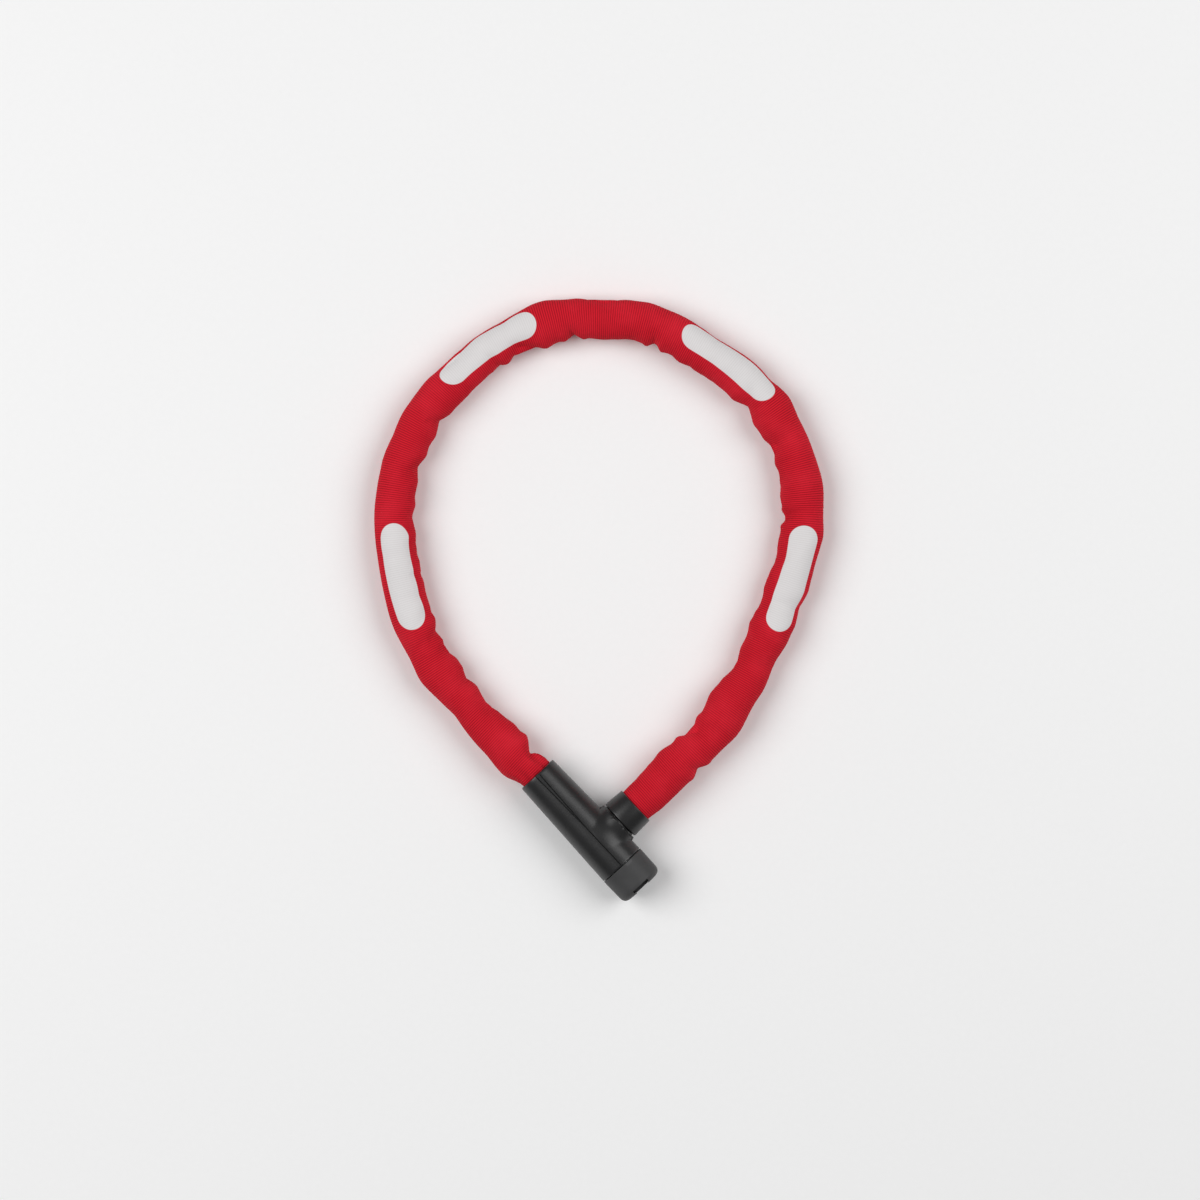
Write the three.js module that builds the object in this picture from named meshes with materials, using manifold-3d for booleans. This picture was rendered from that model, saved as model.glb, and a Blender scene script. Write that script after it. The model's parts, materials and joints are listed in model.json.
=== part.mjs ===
// Chain lock: a loop of 33 square-section links in a woven fabric sleeve, closed by a tapered key lock
// with a push-in locking stud. Millimetres, +Z up. The lock and the chain lie flat, as on a table:
// +Y runs from the lock to the far end of the loop, and z = 0 is the surface that they lie on.
// Every sub-part is a separate closed mesh. The stud is in, and the latch is drawn back from it.

import * as THREE from 'three';
import { mergeVertices } from 'three/addons/utils/BufferGeometryUtils.js';
import Module from 'manifold-3d';

const wasm = await Module();
wasm.setup();

// ---------------------------------------------------------------------------------------------
// Driving dimensions
// ---------------------------------------------------------------------------------------------

const GAP = 0.35; // clearance between neighbours that would touch

// Where the lock lies: the middle of its chain end, the height of its axis and its heading.
const LOCK_AT = new THREE.Vector3(-35.8, -102.0, 14.2);
const LOCK_HEADING = THREE.MathUtils.degToRad(-47);
const CENTRING = new THREE.Vector3(0.35, 0.61, 0); // puts the whole outline's middle over the origin

// In the lock's own frame x runs from the chain end to the key end, y towards the stud and z up.
const CASING_LENGTH = 71.5;
const CHAIN_END_RADIUS = 12.3;
const KEY_END_RADIUS = 14.1;
const CASING_WALL = 2.0;
const MOUTH_RADIUS = 11;
const MOUTH_CHAMFER = 0.8;
const CLAMP_GROOVE = { from: 5, to: 9, depth: 0.65 }; // holds the ring that clamps the sleeve's end
const CAP_END = 89.3;
const CAP_ROUNDING = 3.6;
const CAP_WALL = 2.4;
const CAP_FACE_WALL = 4.2;
const SPIGOT = { length: 3.2, radius: 11.7, bore: 10.2 };
const KEY_OPENING_RADIUS = 4.6;
const BODY_START = 15;
const BODY_END = 68;

const ANCHOR_X = 18; // the pin that holds the first link
const PIN_RADIUS = 2.2;
const ANCHOR_PIN_HALF = 9.3;
const FORK_END = 27.4;
const FORK_HALF_GAP = 2.9; // half the slot that a flat link lies in

const STUD_X = 52; // the stud's axis crosses the lock's axis here
const STUD_RADIUS = 4.5;
const STUD_TIP = -6.5;
const GROOVE_RADIUS = 2.5;
const GROOVE_HALF_WIDTH = 1.8;
const BOSS_TOP = 15.5;
const BOSS_RADIUS = { foot: 13.6, shoulder: 13.3, top: 12.2 };
const BOSS_SHOULDER = 12;
const BUSH_RADIUS = 6.3;
const COLLAR_START = 16.8;
const COLLAR_END = 29.2;
const COLLAR_EDGE = 0.5;
const COLLAR_RADIUS = { lockEnd: 12.5, sleeveEnd: 11.8, bore: 10.8 };
const BAND_GROOVE = { from: 24, to: 27, radius: 11.3 }; // holds the band over the sleeve's end
const STUD_HEAD_START = 18.6;
const STUD_HEAD_END = 33;
const STUD_HEAD_RADIUS = 7.8;
const STUD_PIN_Y = 29;

const CYLINDER_START = 61.8;
const CYLINDER_END = 84.7;
const CYLINDER_RADIUS = 8.6;
const CYLINDER_PIN = { x: 66.2, radius: 1.15, bore: 1.5 };
const PLUG_RADIUS = 5.4;
const PLUG_START = 62.9;
const CLIP_GROOVE = { from: 63.6, to: 64.8, radius: 4.3 }; // holds the plug in the housing
const KEYWAY = { width: 1.4, height: 5 };
const WAFERS_AT = [69.5, 73, 76.5, 80];
const WAFER = { thickness: 1, width: 7, height: 8 };
const CRANK_OFFSET = 1.6; // the plug's tail pin turns this far from the axis and lifts the latch
const CRANK_RADIUS = 0.9;
const LATCH_TOP = -5.1;
const LATCH_FOOT = -7.4;

const COVER = { width: 8.6, flange: 10.4, height: 9.6 };

const LINKS = 33;
const WIRE = 4.8; // side of the links' square section
const LINK_WIDTH = 17.8;
const LINK_SLACK = 3; // how much longer a link's opening is than the pitch
const PIN_INSET = 1.1; // from a link's end pivot to the middle of the pin that it hangs on

const SLEEVE = { width: 23.2, height: 22.2, wall: 0.9, sides: 16, steps: 52 };
const SLEEVE_GATHER = 0.87; // how far each end of the sleeve is drawn in
const SLEEVE_IN_CASING = 9;
const SLEEVE_IN_COLLAR = 23.4;
const LOOP_LEVEL = SLEEVE.height / 2;

// ---------------------------------------------------------------------------------------------
// Materials
// ---------------------------------------------------------------------------------------------

function finish(color, roughness, metalness) {
  return new THREE.MeshStandardMaterial({ color, roughness, metalness });
}

const FABRIC = finish('#b91f2f', 0.9, 0);
const CASING = finish('#2b2b2c', 0.55, 0);
const SOFT_PLASTIC = finish('#3a3a3b', 0.7, 0);
const HARDENED_STEEL = finish('#8c8e91', 0.35, 1);
const PLATED_STEEL = finish('#b9bcc0', 0.25, 1);
const BRASS = finish('#b9975b', 0.35, 1);
const ZINC = finish('#9a9c9e', 0.5, 0.9);

// ---------------------------------------------------------------------------------------------
// Solids
// ---------------------------------------------------------------------------------------------

// A closed geometry as a solid, its faces turned to point outwards.
function solid(geometry) {
  geometry.deleteAttribute('normal');
  geometry.deleteAttribute('uv');
  const merged = mergeVertices(geometry, 1e-4);
  const vertProperties = merged.attributes.position.array;
  const corners = merged.index.array;
  const faces = [];
  let volume = 0;
  for (let i = 0; i < corners.length; i += 3) {
    const face = [corners[i], corners[i + 1], corners[i + 2]];
    if (new Set(face).size < 3) {
      continue;
    }
    const [a, b, c] = face.map((n) => new THREE.Vector3().fromArray(vertProperties, n * 3));
    volume += a.dot(b.cross(c));
    faces.push(face);
  }
  const outward = volume > 0 ? faces : faces.map(([a, b, c]) => [a, c, b]);
  const triVerts = Uint32Array.from(outward.flat());
  return new wasm.Manifold(new wasm.Mesh({ numProp: 3, vertProperties, triVerts }));
}

function mesh(name, material, body) {
  const { vertProperties, triVerts } = body.getMesh();
  const geometry = new THREE.BufferGeometry();
  geometry.setAttribute('position', new THREE.BufferAttribute(new Float32Array(vertProperties), 3));
  geometry.setIndex(new THREE.BufferAttribute(new Uint32Array(triVerts), 1));
  geometry.computeVertexNormals();
  const piece = new THREE.Mesh(geometry, material);
  piece.name = name;
  return piece;
}

function cut(body, ...tools) {
  return tools.reduce((left, tool) => left.subtract(tool), body);
}

function block([x0, x1], [y0, y1], [z0, z1]) {
  const box = new THREE.BoxGeometry(x1 - x0, y1 - y0, z1 - z0);
  box.translate((x0 + x1) / 2, (y0 + y1) / 2, (z0 + z1) / 2);
  return solid(box);
}

// Turns a geometry made along +Y to run along another axis.
function alignTo(axis, geometry) {
  if (axis === 'x') {
    geometry.rotateZ(-Math.PI / 2);
  }
  if (axis === 'z') {
    geometry.rotateX(Math.PI / 2);
  }
  return geometry;
}

// A round bar along an axis from one place to another, through the point given.
function rod(axis, radius, [from, to], at = [0, 0, 0], sides = 20) {
  const cylinder = new THREE.CylinderGeometry(radius, radius, to - from, sides);
  alignTo(axis, cylinder);
  const middle = { x: at[0], y: at[1], z: at[2] };
  middle[axis] = (from + to) / 2;
  cylinder.translate(middle.x, middle.y, middle.z);
  return solid(cylinder);
}

// A turned body: the outline is a list of [place along the axis, radius], closed or ending on the axis.
function turned(axis, outline, at = [0, 0, 0], sides = 24) {
  const points = outline.map(([along, radius]) => new THREE.Vector2(radius, along));
  const lathe = new THREE.LatheGeometry(points, sides);
  alignTo(axis, lathe);
  lathe.translate(...at);
  return solid(lathe);
}

function tube(axis, outer, inner, [from, to], at, sides = 24) {
  const outline = [[from, inner], [from, outer], [to, outer], [to, inner], [from, inner]];
  return turned(axis, outline, at, sides);
}

// A coil spring of round wire, its axis along +Z from the point given.
function coil(radius, wire, height, turns, at, sides) {
  const rise = height - 2 * wire;
  class Helix extends THREE.Curve {
    getPoint(t) {
      const angle = t * turns * 2 * Math.PI;
      return new THREE.Vector3(radius * Math.cos(angle), radius * Math.sin(angle), wire + t * rise);
    }
  }
  const section = new THREE.Shape(oval(wire, wire, sides));
  const options = { steps: turns * 8, extrudePath: new Helix() };
  const spring = new THREE.ExtrudeGeometry(section, options);
  spring.translate(...at);
  return solid(spring);
}

// The corners of a many-sided oval with a flat side at each end of both axes, where it is widest.
function oval(halfX, halfY, sides) {
  const outset = 1 / Math.cos(Math.PI / sides);
  const points = [];
  for (let i = 0; i < sides; i += 1) {
    const angle = ((i + 0.5) / sides) * 2 * Math.PI;
    points.push(new THREE.Vector2(halfX * Math.cos(angle), halfY * Math.sin(angle)).multiplyScalar(outset));
  }
  return points;
}

// ---------------------------------------------------------------------------------------------
// The lock's casing and cap
// ---------------------------------------------------------------------------------------------

function casingRadius(x) {
  return THREE.MathUtils.lerp(CHAIN_END_RADIUS, KEY_END_RADIUS, x / CASING_LENGTH);
}

function cavityRadius(x) {
  return casingRadius(x) - CASING_WALL;
}

// Both halves in one: the tapered tube, the boss round the stud and the groove for the sleeve's clamp.
function wholeCasing() {
  const outside = turned('x', [
    [0, 0],
    [0, CHAIN_END_RADIUS - MOUTH_CHAMFER],
    [MOUTH_CHAMFER, casingRadius(MOUTH_CHAMFER)],
    [CASING_LENGTH, KEY_END_RADIUS],
    [CASING_LENGTH, 0],
  ], [0, 0, 0], 32);
  const bossOutline = [
    [0, 0],
    [0, BOSS_RADIUS.foot],
    [BOSS_SHOULDER, BOSS_RADIUS.shoulder],
    [BOSS_TOP, BOSS_RADIUS.top],
    [BOSS_TOP, 0],
  ];
  const boss = turned('y', bossOutline, [STUD_X, 0, 0], 32);
  const cavity = turned('x', [
    [-1, 0],
    [-1, MOUTH_RADIUS],
    [CLAMP_GROOVE.from, MOUTH_RADIUS],
    [CLAMP_GROOVE.from, MOUTH_RADIUS + CLAMP_GROOVE.depth],
    [CLAMP_GROOVE.to, MOUTH_RADIUS + CLAMP_GROOVE.depth],
    [CLAMP_GROOVE.to, cavityRadius(CLAMP_GROOVE.to)],
    [CASING_LENGTH + 1, cavityRadius(CASING_LENGTH)],
    [CASING_LENGTH + 1, 0],
  ], [0, 0, 0], 32);
  const studHole = rod('y', BUSH_RADIUS + GAP, [5, BOSS_TOP + 2], [STUD_X, 0, 0]);
  return cut(outside.add(boss), cavity, studHole);
}

function casingHalves() {
  const whole = wholeCasing();
  const across = KEY_END_RADIUS + 8;
  const length = [-2, CASING_LENGTH + 2];
  const studSide = block(length, [GAP / 2, across], [-across, across]);
  const backSide = block(length, [-across, -GAP / 2], [-across, across]);
  return [
    mesh('casing_stud_half', CASING, whole.intersect(studSide)),
    mesh('casing_back_half', CASING, whole.intersect(backSide)),
  ];
}

// The cap over the key end, with a spigot in the casing, the key opening and the cover's open channel.
function endCap() {
  const seam = CASING_LENGTH + GAP;
  const wall = CAP_END - CAP_FACE_WALL;
  const radius = KEY_END_RADIUS + 0.1;
  const outline = [
    [seam - SPIGOT.length, 0],
    [seam - SPIGOT.length, SPIGOT.radius],
    [seam, SPIGOT.radius],
    [seam, radius],
  ];
  for (let i = 0; i <= 4; i += 1) {
    const angle = (i / 4) * (Math.PI / 2);
    outline.push([
      CAP_END - CAP_ROUNDING + CAP_ROUNDING * Math.sin(angle),
      radius - 0.3 - CAP_ROUNDING + CAP_ROUNDING * Math.cos(angle),
    ]);
  }
  outline.push([CAP_END, 0]);
  const blank = turned('x', outline, [0, 0, 0], 32);
  const hollow = turned('x', [
    [seam - 4, 0],
    [seam - 4, SPIGOT.bore],
    [seam + 1.5, SPIGOT.bore],
    [seam + 3, radius - CAP_WALL],
    [wall, radius - CAP_WALL],
    [wall, 0],
  ]);
  const keyOpening = rod('x', KEY_OPENING_RADIUS, [wall - 1, CAP_END + 1], [0, 0, 0], 24);
  const bottom = -COVER.height / 2 - 0.6;
  const top = radius + 1;
  const faceSlot = halfWidths(COVER.width);
  const flangeSlot = halfWidths(COVER.flange);
  const channel = block([CAP_END - 1.2, CAP_END + 1], faceSlot, [bottom, top]);
  const undercut = block([CAP_END - 2.5, CAP_END - 1.1], flangeSlot, [bottom, top]);
  return mesh('end_cap', SOFT_PLASTIC, cut(blank, hollow, keyOpening, channel, undercut));
}

function halfWidths(width) {
  return [-width / 2 - GAP, width / 2 + GAP];
}

// The slider over the keyhole: a face plate on a wider flange that the cap's undercut holds.
function keyholeCover() {
  const height = [-COVER.height / 2, COVER.height / 2];
  const flange = block([CAP_END - 2.15, CAP_END - 1.45], [-COVER.flange / 2, COVER.flange / 2], height);
  const face = block([CAP_END - 1.6, CAP_END - 0.3], [-COVER.width / 2, COVER.width / 2], height);
  return mesh('keyhole_cover', CASING, flange.add(face));
}

function sleeveClampRing() {
  const span = [CLAMP_GROOVE.from + 0.4, CLAMP_GROOVE.to - 0.4];
  const ring = tube('x', MOUTH_RADIUS + 0.3, MOUTH_RADIUS - 0.2, span);
  return mesh('sleeve_clamp_ring', PLATED_STEEL, ring);
}

// ---------------------------------------------------------------------------------------------
// The lock's inside
// ---------------------------------------------------------------------------------------------

// The hardened body: a fork for the first link, the stud's and the cylinder's bores, and the latch's pocket.
function steelBody() {
  const blank = turned('x', [
    [BODY_START, 0],
    [BODY_START, cavityRadius(BODY_START) - GAP],
    [BODY_END, cavityRadius(BODY_END) - GAP],
    [BODY_END, 0],
  ]);
  const beyond = KEY_END_RADIUS;
  const fork = block([BODY_START - 1, FORK_END], [-beyond, beyond], [-FORK_HALF_GAP, FORK_HALF_GAP]);
  const anchorBore = rod('z', PIN_RADIUS + GAP, [-beyond, beyond], [ANCHOR_X, 0, 0]);
  const studBore = rod('y', STUD_RADIUS + GAP, [STUD_TIP - 0.8, beyond], [STUD_X, 0, 0]);
  const bushBore = rod('y', BUSH_RADIUS + GAP, [7.6, beyond], [STUD_X, 0, 0]);
  const tonguePocket = block([48.6, 57.8], [-1.9, 1.9], [LATCH_FOOT - 0.8, -2.4]);
  const platePocket = block([57.6, 62], [-4.4, 4.4], [LATCH_FOOT - 0.8, 6.5]);
  const springHole = rod('z', 2.4, [-10.4, -8], [STUD_X, 0, 0], 16);
  const cylinderBore = rod('x', CYLINDER_RADIUS + GAP, [CYLINDER_START - 0.4, BODY_END + 1], [0, 0, 0], 24);
  const pinBore = rod('z', CYLINDER_PIN.bore, [5, beyond], [CYLINDER_PIN.x, 0, 0], 16);
  const cuts = [fork, anchorBore, studBore, bushBore, tonguePocket, platePocket, springHole];
  return mesh('steel_body', HARDENED_STEEL, cut(blank, ...cuts, cylinderBore, pinBore));
}

function anchorPin() {
  const span = [-ANCHOR_PIN_HALF, ANCHOR_PIN_HALF];
  return mesh('anchor_pin', HARDENED_STEEL, rod('z', PIN_RADIUS, span, [ANCHOR_X, 0, 0]));
}

function studGuideBush() {
  const bush = tube('y', BUSH_RADIUS, STUD_RADIUS + GAP, [7.95, 15.3], [STUD_X, 0, 0]);
  return mesh('stud_guide_bush', BRASS, bush);
}

// The lock cylinder's fixed part: a bore for the plug and two grooves that the wafers lock into.
function cylinderHousing() {
  const blank = turned('x', [
    [CYLINDER_START, 7.2],
    [CYLINDER_START, CYLINDER_RADIUS],
    [CYLINDER_END, CYLINDER_RADIUS],
    [CYLINDER_END, PLUG_RADIUS + GAP],
    [65, PLUG_RADIUS + GAP],
    [65, 7.2],
    [CYLINDER_START, 7.2],
  ]);
  const span = [67.8, 81.8];
  const upper = block(span, [-3.9, 3.9], [3, 7]);
  const lower = block(span, [-3.9, 3.9], [-7, -3]);
  const pinHole = rod('z', CYLINDER_PIN.bore, [6.4, 9], [CYLINDER_PIN.x, 0, 0], 16);
  return mesh('cylinder_housing', ZINC, cut(blank, upper, lower, pinHole));
}

function cylinderPin() {
  const { x, radius } = CYLINDER_PIN;
  return mesh('cylinder_pin', HARDENED_STEEL, rod('z', radius, [6.75, 10.9], [x, 0, 0], 12));
}

// The plug that the key turns, with its keyway, wafer slots, clip groove and off-centre tail pin.
function plug() {
  const blank = turned('x', [
    [PLUG_START, 0],
    [PLUG_START, PLUG_RADIUS],
    [CLIP_GROOVE.from, PLUG_RADIUS],
    [CLIP_GROOVE.from, CLIP_GROOVE.radius],
    [CLIP_GROOVE.to, CLIP_GROOVE.radius],
    [CLIP_GROOVE.to, PLUG_RADIUS],
    [CYLINDER_END, PLUG_RADIUS],
    [CYLINDER_END, 0],
  ]);
  const crank = CRANK_OFFSET * Math.SQRT1_2;
  const tailPin = rod('x', CRANK_RADIUS, [57.9, PLUG_START + 0.5], [0, crank, -crank], 12);
  const keyway = block(
    [66, CYLINDER_END + 1],
    [-KEYWAY.width / 2, KEYWAY.width / 2],
    [-KEYWAY.height / 2, KEYWAY.height / 2],
  );
  const slots = WAFERS_AT.map((x) => block([x - 0.8, x + 0.8], [-3.8, 3.8], [-6, 6]));
  return mesh('plug', BRASS, cut(blank, keyway, ...slots).add(tailPin));
}

function plugClip() {
  const span = [CLIP_GROOVE.from + 0.3, CLIP_GROOVE.to - 0.3];
  const ring = tube('x', 6.8, CLIP_GROOVE.radius + GAP, span, [0, 0, 0]);
  const mouth = block([63, 65], [0, 8], [-3, 3]);
  return mesh('plug_clip', PLATED_STEEL, cut(ring, mouth));
}

// A flat plate with a window for the key and a notch in one corner for its spring.
function wafer(x, number) {
  const half = WAFER.thickness / 2;
  const plate = block(
    [x - half, x + half],
    [-WAFER.width / 2, WAFER.width / 2],
    [-WAFER.height / 2, WAFER.height / 2],
  );
  const window = block([x - 1, x + 1], [-1, 1], [-2.9, 2.9]);
  const notch = block([x - 1, x + 1], [1.8, 4], [-5, -0.5]);
  return mesh(`wafer_${number}`, BRASS, cut(plate, window, notch));
}

function waferSpring(x, number) {
  return mesh(`wafer_spring_${number}`, PLATED_STEEL, coil(0.42, 0.13, 2.7, 3, [x, 2.75, -3.6], 4));
}

// The latch: a tongue under the stud, and an upright plate with a slot that the plug's tail pin works in.
function latch() {
  const tongue = block([49, 58.2], [-1.5, 1.5], [LATCH_FOOT, LATCH_TOP]);
  const plate = block([58, 60.5], [-4, 4], [LATCH_FOOT, 3.4]);
  const middle = -CRANK_OFFSET * Math.SQRT1_2;
  const reach = CRANK_RADIUS + 0.3;
  const slot = block([57, 62], [-0.2, 2.9], [middle - reach, middle + reach]);
  return mesh('latch', HARDENED_STEEL, cut(tongue.add(plate), slot));
}

function latchSpring() {
  return mesh('latch_spring', PLATED_STEEL, coil(1.6, 0.22, 2.3, 3, [STUD_X, 0, -10.05], 6));
}

// ---------------------------------------------------------------------------------------------
// The locking stud and its collar
// ---------------------------------------------------------------------------------------------

// The stud: a pointed tip, the groove that the latch enters, and a forked head for the last link.
function lockingStud() {
  const blank = turned('y', [
    [STUD_TIP, 0],
    [STUD_TIP, 2.6],
    [STUD_TIP + 1.9, STUD_RADIUS],
    [-GROOVE_HALF_WIDTH, STUD_RADIUS],
    [-GROOVE_HALF_WIDTH, GROOVE_RADIUS],
    [GROOVE_HALF_WIDTH, GROOVE_RADIUS],
    [GROOVE_HALF_WIDTH, STUD_RADIUS],
    [STUD_HEAD_START, STUD_RADIUS],
    [STUD_HEAD_START, STUD_HEAD_RADIUS],
    [STUD_HEAD_END, STUD_HEAD_RADIUS],
    [STUD_HEAD_END, 0],
  ], [STUD_X, 0, 0]);
  const beyond = STUD_HEAD_RADIUS + 2;
  const fork = block(
    [STUD_X - beyond, STUD_X + beyond],
    [STUD_HEAD_START + 2.2, STUD_HEAD_END + 1],
    [-FORK_HALF_GAP, FORK_HALF_GAP],
  );
  const pinBore = rod('z', PIN_RADIUS + GAP, [-beyond, beyond], [STUD_X, STUD_PIN_Y, 0]);
  return mesh('locking_stud', HARDENED_STEEL, cut(blank, fork, pinBore));
}

function studLinkPin() {
  return mesh('stud_link_pin', HARDENED_STEEL, rod('z', PIN_RADIUS, [-7, 7], [STUD_X, STUD_PIN_Y, 0]));
}

// The plastic collar round the stud's head, which holds the sleeve's end under its band.
function studCollar() {
  const collar = turned('y', [
    [COLLAR_START, STUD_RADIUS + GAP],
    [COLLAR_START, COLLAR_RADIUS.lockEnd - 0.4],
    [COLLAR_START + COLLAR_EDGE, COLLAR_RADIUS.lockEnd],
    [COLLAR_END - COLLAR_EDGE, COLLAR_RADIUS.sleeveEnd],
    [COLLAR_END, COLLAR_RADIUS.sleeveEnd - 0.4],
    [COLLAR_END, COLLAR_RADIUS.bore],
    [BAND_GROOVE.to, COLLAR_RADIUS.bore],
    [BAND_GROOVE.to, BAND_GROOVE.radius],
    [BAND_GROOVE.from, BAND_GROOVE.radius],
    [BAND_GROOVE.from, COLLAR_RADIUS.bore],
    [23, COLLAR_RADIUS.bore],
    [23, 8.3],
    [STUD_HEAD_START - GAP, 8.3],
    [STUD_HEAD_START - GAP, STUD_RADIUS + GAP],
    [COLLAR_START, STUD_RADIUS + GAP],
  ], [STUD_X, 0, 0]);
  return mesh('stud_collar', CASING, collar);
}

function sleeveEndBand() {
  const span = [BAND_GROOVE.from + 0.3, BAND_GROOVE.to - 0.3];
  return mesh('sleeve_end_band', PLATED_STEEL, tube('y', 11.05, 10.7, span, [STUD_X, 0, 0]));
}

// ---------------------------------------------------------------------------------------------
// The chain and its sleeve
// ---------------------------------------------------------------------------------------------

function fromLock(x, y) {
  const up = new THREE.Vector3(0, 0, 1);
  return new THREE.Vector3(x, y, 0).applyAxisAngle(up, LOCK_HEADING).add(LOCK_AT);
}

function onTable(x, y) {
  return new THREE.Vector3(x, y, LOOP_LEVEL);
}

// The middle of the chain, from the anchor pin round the loop to the stud's pin.
const ROUTE = new THREE.CatmullRomCurve3([
  fromLock(ANCHOR_X + PIN_INSET, 0),
  fromLock(4, 0),
  fromLock(-10, 0),
  onTable(-66, -74),
  onTable(-86, -51.5),
  onTable(-102.5, -25.5),
  onTable(-113.5, 4),
  onTable(-119, 34),
  onTable(-118, 64.5),
  onTable(-109, 94),
  onTable(-91.5, 119),
  onTable(-69, 139.5),
  onTable(-42, 154.5),
  onTable(-12, 162),
  onTable(18, 161),
  onTable(47, 151.5),
  onTable(72, 135.5),
  onTable(95, 115),
  onTable(111, 89),
  onTable(118.5, 59),
  onTable(116.5, 28.5),
  onTable(107.5, -0.5),
  onTable(95.5, -28.5),
  onTable(81, -54.5),
  fromLock(STUD_X - 0.6, 90),
  fromLock(STUD_X, 56),
  fromLock(STUD_X, 40),
  fromLock(STUD_X, STUD_PIN_Y - PIN_INSET),
]);

// The point that follows a pivot along the route, one pitch away in a straight line.
function nextPivot(samples, start, pitch) {
  const from = samples.at(start.index).clone().lerp(samples.at(start.index + 1), start.part);
  for (let index = start.index; index < samples.length - 1; index += 1) {
    if (from.distanceTo(samples[index + 1]) >= pitch) {
      const near = index === start.index ? 0 : from.distanceTo(samples[index]);
      const far = from.distanceTo(samples[index + 1]);
      const part = (pitch - near) / (far - near);
      return { index, part, point: samples[index].clone().lerp(samples[index + 1], part) };
    }
  }
  return null;
}

function pivotsAt(samples, pitch) {
  const pivots = [samples[0]];
  let here = { index: 0, part: 0 };
  while (pivots.length <= LINKS) {
    here = nextPivot(samples, here, pitch);
    if (here === null) {
      return pivots;
    }
    pivots.push(here.point);
  }
  return pivots;
}

// The links' pivots: the pitch is halved in on until the last pivot falls on the stud's end of the route.
function solvePivots() {
  const samples = ROUTE.getSpacedPoints(6000);
  const end = samples.at(-1);
  let short = 20;
  let long = 30;
  for (let i = 0; i < 50; i += 1) {
    const pitch = (short + long) / 2;
    const pivots = pivotsAt(samples, pitch);
    if (pivots.length <= LINKS) {
      long = pitch;
    } else {
      short = pitch;
    }
  }
  const pivots = pivotsAt(samples, short);
  pivots[LINKS] = end;
  return pivots;
}

const PIVOTS = solvePivots();
const PITCH = PIVOTS[0].distanceTo(PIVOTS[1]);

// A flat ring with straight sides and round ends, centred on the origin with its length along X.
function roundEnded(PathType, length, width) {
  const radius = width / 2;
  const straight = length / 2 - radius;
  const path = new PathType();
  path.absarc(straight, 0, radius, -Math.PI / 2, Math.PI / 2, false);
  path.absarc(-straight, 0, radius, Math.PI / 2, (3 * Math.PI) / 2, false);
  path.closePath();
  return path;
}

function linkSolid() {
  const opening = PITCH + LINK_SLACK;
  const outline = roundEnded(THREE.Shape, opening + 2 * WIRE, LINK_WIDTH);
  outline.holes.push(roundEnded(THREE.Path, opening, LINK_WIDTH - 2 * WIRE));
  const options = { depth: WIRE, bevelEnabled: false, curveSegments: 3 };
  const geometry = new THREE.ExtrudeGeometry(outline, options);
  geometry.translate(0, 0, -WIRE / 2);
  return solid(geometry);
}

// The links lie flat and on edge by turns, the first and the last one flat.
function chainLinks() {
  const shape = linkSolid();
  const up = new THREE.Vector3(0, 0, 1);
  const links = [];
  for (let i = 0; i < LINKS; i += 1) {
    const link = mesh(`link_${String(i + 1).padStart(2, '0')}`, PLATED_STEEL, shape);
    const along = PIVOTS[i + 1].clone().sub(PIVOTS[i]).normalize();
    const across = up.clone().cross(along).normalize();
    const basis = new THREE.Matrix4().makeBasis(along, across, along.clone().cross(across));
    link.quaternion.setFromRotationMatrix(basis);
    if (i % 2 === 1) {
      link.rotateX(Math.PI / 2);
    }
    link.position.copy(PIVOTS[i]).lerp(PIVOTS[i + 1], 0.5);
    links.push(link);
  }
  return links;
}

// The stretch of the route that the sleeve covers, from inside the casing to inside the collar.
class SleeveRun extends THREE.Curve {
  constructor() {
    super();
    const length = ROUTE.getLength();
    this.from = (ANCHOR_X + PIN_INSET - SLEEVE_IN_CASING) / length;
    this.to = 1 + (STUD_PIN_Y - PIN_INSET - SLEEVE_IN_COLLAR) / length;
  }

  getPoint(t) {
    const u = this.from + t * (this.to - this.from);
    if (u > 1) {
      const end = ROUTE.getPointAt(1);
      return end.addScaledVector(ROUTE.getTangentAt(1), (u - 1) * ROUTE.getLength());
    }
    return ROUTE.getPointAt(u);
  }
}

// How much of its full size the sleeve has at a distance from its end: drawn in, then opening out.
function gather(distance) {
  const open = THREE.MathUtils.smoothstep(distance, 9, 20);
  return THREE.MathUtils.lerp(SLEEVE_GATHER, 1, open);
}

function fabricSleeve() {
  const run = new SleeveRun();
  const outline = new THREE.Shape(oval(SLEEVE.height / 2, SLEEVE.width / 2, SLEEVE.sides));
  const inside = oval(SLEEVE.height / 2 - SLEEVE.wall, SLEEVE.width / 2 - SLEEVE.wall, SLEEVE.sides);
  outline.holes.push(new THREE.Path(inside));
  const geometry = new THREE.ExtrudeGeometry(outline, { steps: SLEEVE.steps, extrudePath: run });
  const stations = run.getSpacedPoints(SLEEVE.steps);
  const step = run.getLength() / SLEEVE.steps;
  const position = geometry.attributes.position;
  const corner = new THREE.Vector3();
  for (let i = 0; i < position.count; i += 1) {
    corner.fromBufferAttribute(position, i);
    const gaps = stations.map((station) => station.distanceTo(corner));
    const nearest = gaps.indexOf(Math.min(...gaps));
    const distance = Math.min(nearest, SLEEVE.steps - nearest) * step;
    const middle = stations[nearest];
    corner.sub(middle).multiplyScalar(gather(distance)).add(middle);
    position.setXYZ(i, corner.x, corner.y, Math.max(corner.z, 0));
  }
  return mesh('fabric_sleeve', FABRIC, solid(geometry));
}

// ---------------------------------------------------------------------------------------------
// Assembly
// ---------------------------------------------------------------------------------------------

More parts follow.
